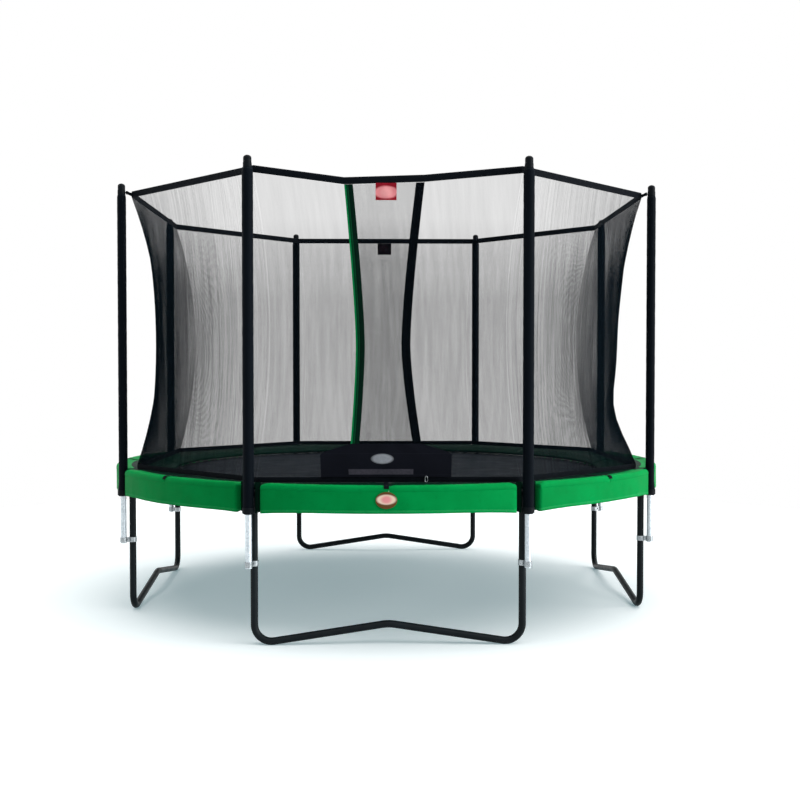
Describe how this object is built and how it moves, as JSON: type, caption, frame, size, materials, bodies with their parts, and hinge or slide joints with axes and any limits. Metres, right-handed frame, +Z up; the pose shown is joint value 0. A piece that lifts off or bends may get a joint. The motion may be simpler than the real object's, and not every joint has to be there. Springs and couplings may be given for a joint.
{
  "type": "garden trampoline",
  "caption": "Round garden trampoline on four W-shaped legs, with sprung mat, padded rim with skirt, and a net enclosure with an overlapping entrance.",
  "frame": {"origin": "on the ground under the middle of the mat", "axes": "+Z up; -Y points out of the entrance; +X to the right for someone who faces the entrance"},
  "size_m": [3.8946, 3.8946, 2.8429],
  "materials": {
    "black_steel": "smooth black powder coat, satin",
    "galvanised_steel": "bright galvanised tube",
    "zinc_steel": "zinc plated, slightly dull",
    "spring_steel": "bright zinc plated wire",
    "black_plastic": "moulded, fine grain",
    "black_sleeve": "foam sleeve in black polyester cloth",
    "mat_weave": "tight polypropylene weave with a faint sheen",
    "green_cover": "green PVC-coated cloth over foam",
    "net_mesh": "fine dark knitted mesh, see-through",
    "black_webbing": "ribbed polyester webbing",
    "green_webbing": "green woven binding",
    "kick_fabric": "closed black coated cloth",
    "red_fabric": "plain sewn fabric tab"
  },
  "bodies": {
    "frame": {"frame_rail_1": "black_steel", "frame_rail_2": "black_steel", "frame_rail_3": "black_steel", "frame_rail_4": "black_steel", "frame_rail_5": "black_steel", "frame_rail_6": "black_steel", "frame_rail_7": "black_steel", "frame_rail_8": "black_steel", "rail_screws": "zinc_steel", "w_leg_front": "black_steel", "w_leg_right": "black_steel", "w_leg_back": "black_steel", "w_leg_left": "black_steel", "leg_tubes_front": "black_steel", "leg_tubes_right": "black_steel", "leg_tubes_back": "black_steel", "leg_tubes_left": "black_steel", "net_pole_1": "galvanised_steel", "net_pole_2": "galvanised_steel", "net_pole_3": "galvanised_steel", "net_pole_4": "galvanised_steel", "net_pole_5": "galvanised_steel", "net_pole_6": "galvanised_steel", "net_pole_7": "galvanised_steel", "net_pole_8": "galvanised_steel", "pole_sleeve_1": "black_sleeve", "pole_sleeve_2": "black_sleeve", "pole_sleeve_3": "black_sleeve", "pole_sleeve_4": "black_sleeve", "pole_sleeve_5": "black_sleeve", "pole_sleeve_6": "black_sleeve", "pole_sleeve_7": "black_sleeve", "pole_sleeve_8": "black_sleeve", "pole_caps": "black_plastic", "lower_clamps": "zinc_steel", "upper_clamps": "black_plastic", "clamp_bolts": "zinc_steel", "springs": "spring_steel", "safety_pad": "green_cover", "pad_skirt": "green_cover", "net_panel_1": "net_mesh", "net_panel_2": "net_mesh", "net_panel_3": "net_mesh", "net_panel_4": "net_mesh", "net_panel_5": "net_mesh", "net_panel_6": "net_mesh", "net_panel_7": "net_mesh", "outer_flap": "net_mesh", "inner_flap": "net_mesh", "outer_flap_binding": "green_webbing", "inner_flap_binding": "black_webbing", "net_top_band": "black_webbing", "net_bottom_hem": "black_webbing", "net_straps": "black_webbing", "kick_panel": "kick_fabric", "fabric_tabs": "red_fabric", "snap_link": "zinc_steel"},
    "mat": {"jump_mat": "mat_weave", "mat_rings": "zinc_steel", "ring_loops": "black_webbing"}
  },
  "joints": [
    {"name": "mat_bounce", "type": "slide", "parent": "frame", "child": "mat", "axis": [0, 0, 1], "range_m": [-0.2, 0], "stiffness_N_per_m": 5500, "springref_m": 0.05, "deforming": ["springs"]}
  ]
}
